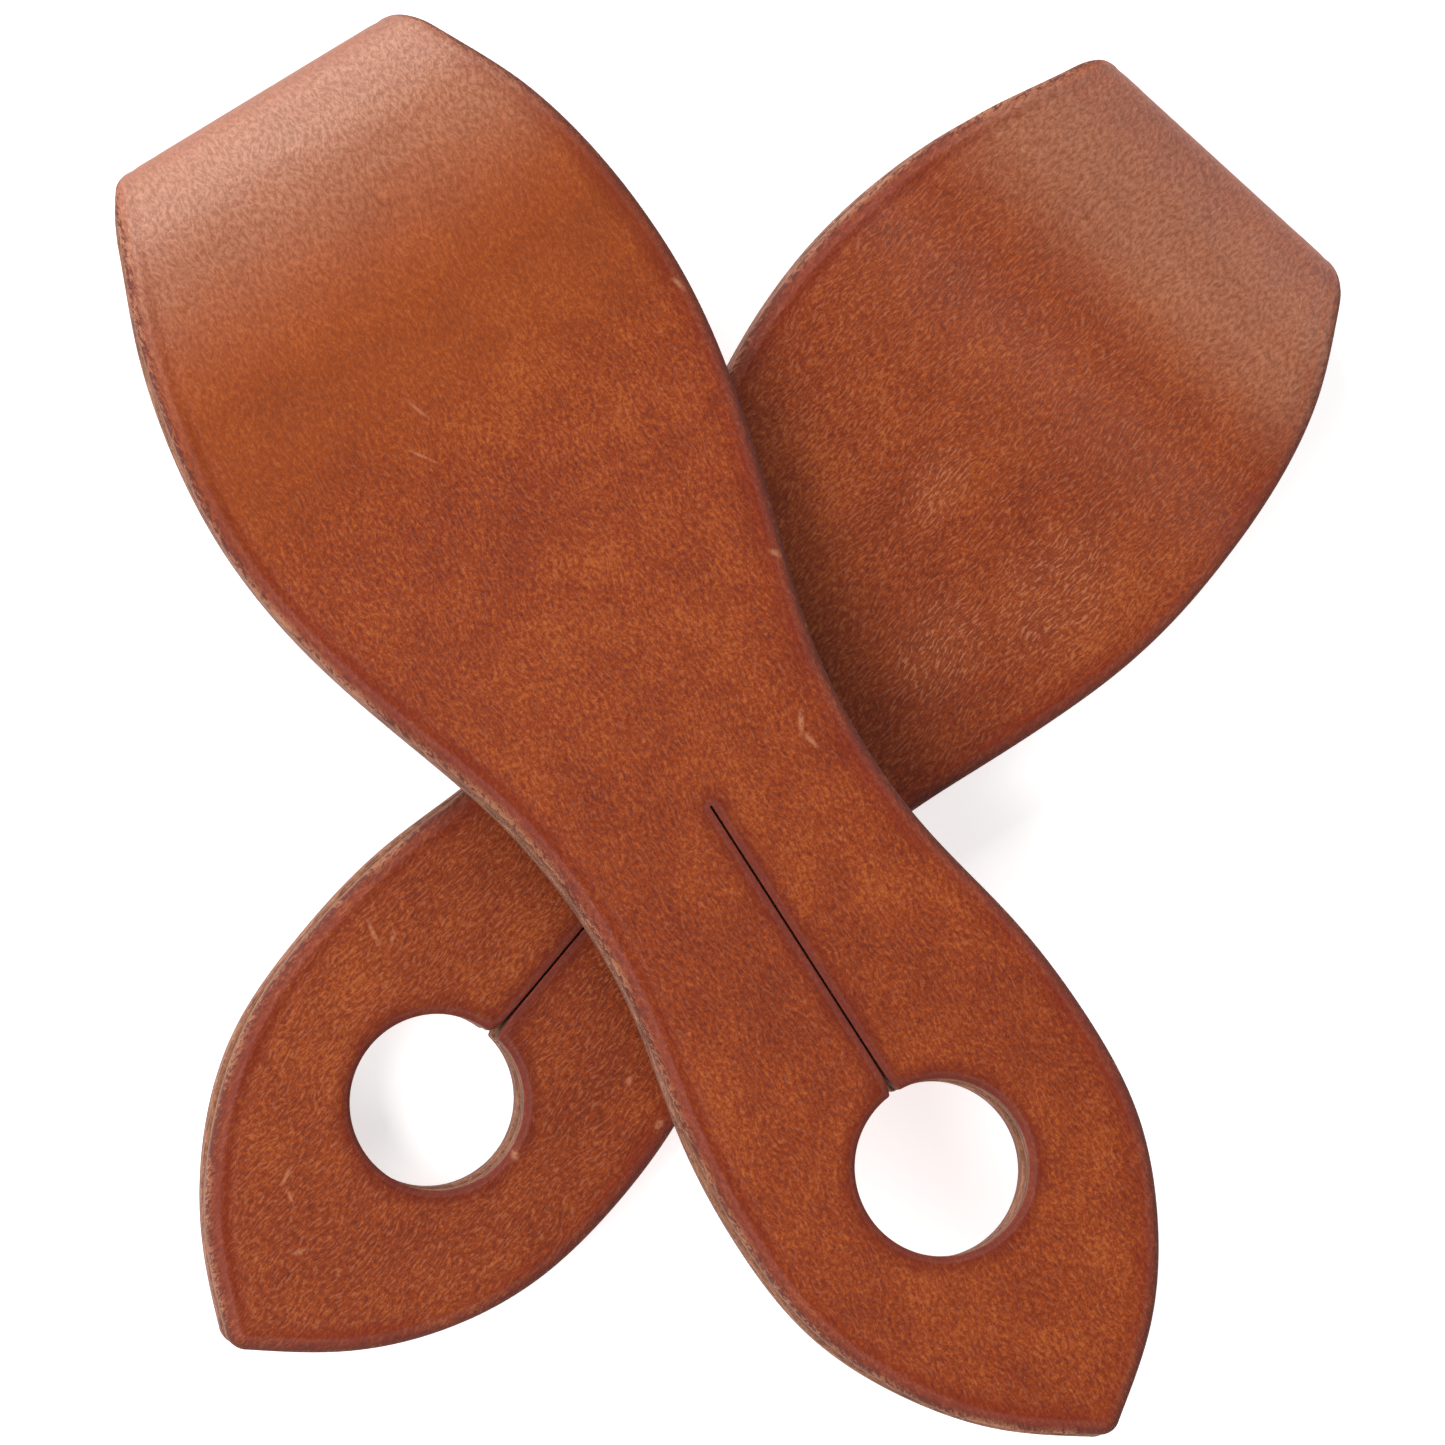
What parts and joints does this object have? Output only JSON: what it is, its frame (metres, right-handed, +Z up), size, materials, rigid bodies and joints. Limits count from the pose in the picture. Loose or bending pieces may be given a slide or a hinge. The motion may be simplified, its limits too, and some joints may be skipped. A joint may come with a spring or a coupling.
{
  "type": "pair of slobber straps",
  "caption": "Folded leather rein straps with a bit-ring eye at the fold, a shaped waist, and a round rein hole with a slit through both leaves; one strap lies across the other.",
  "frame": {"origin": "middle of the pair's bounding box in plan, on the surface it lies on", "axes": "+Z up from the surface; the lower strap lies along Y with its fold at +Y and its tip at -Y; the upper strap's fold is at -X and its tip points towards +X, turned 17.2 degrees towards -Y"},
  "size_m": [0.2252, 0.2286, 0.0315],
  "materials": {
    "lower_strap_leather": "russet harness leather, waxed, with a burnished edge",
    "upper_strap_leather": "russet harness leather, waxed, with a burnished edge"
  },
  "bodies": {
    "lower_base": {"lower_strap_back_leaf": "lower_strap_leather", "lower_strap_fold": "lower_strap_leather"},
    "lower_front": {"lower_strap_crest": "lower_strap_leather", "lower_strap_front_leaf": "lower_strap_leather"},
    "upper_base": {"upper_strap_back_leaf": "upper_strap_leather", "upper_strap_fold": "upper_strap_leather"},
    "upper_front": {"upper_strap_crest": "upper_strap_leather", "upper_strap_front_leaf": "upper_strap_leather"}
  },
  "joints": [
    {"name": "lower_strap_open", "type": "hinge", "parent": "lower_base", "child": "lower_front", "pos_m": [0.009, 0.1122, 0.0072], "axis": [-1, 0, 0], "range_deg": [0, 90], "stiffness_Nm_per_rad": 0.5, "deforming": ["lower_strap_fold"]},
    {"name": "upper_strap_lift", "type": "slide", "parent": "lower_front", "child": "upper_base", "axis": [0, 0, 1], "range_m": [0, 0.1]},
    {"name": "upper_strap_open", "type": "hinge", "parent": "upper_base", "child": "upper_front", "pos_m": [-0.1035, 0.02326, 0.00792], "axis": [-0.2933, -0.955, -0.0444], "range_deg": [0, 90], "stiffness_Nm_per_rad": 0.5, "deforming": ["upper_strap_fold"]}
  ]
}
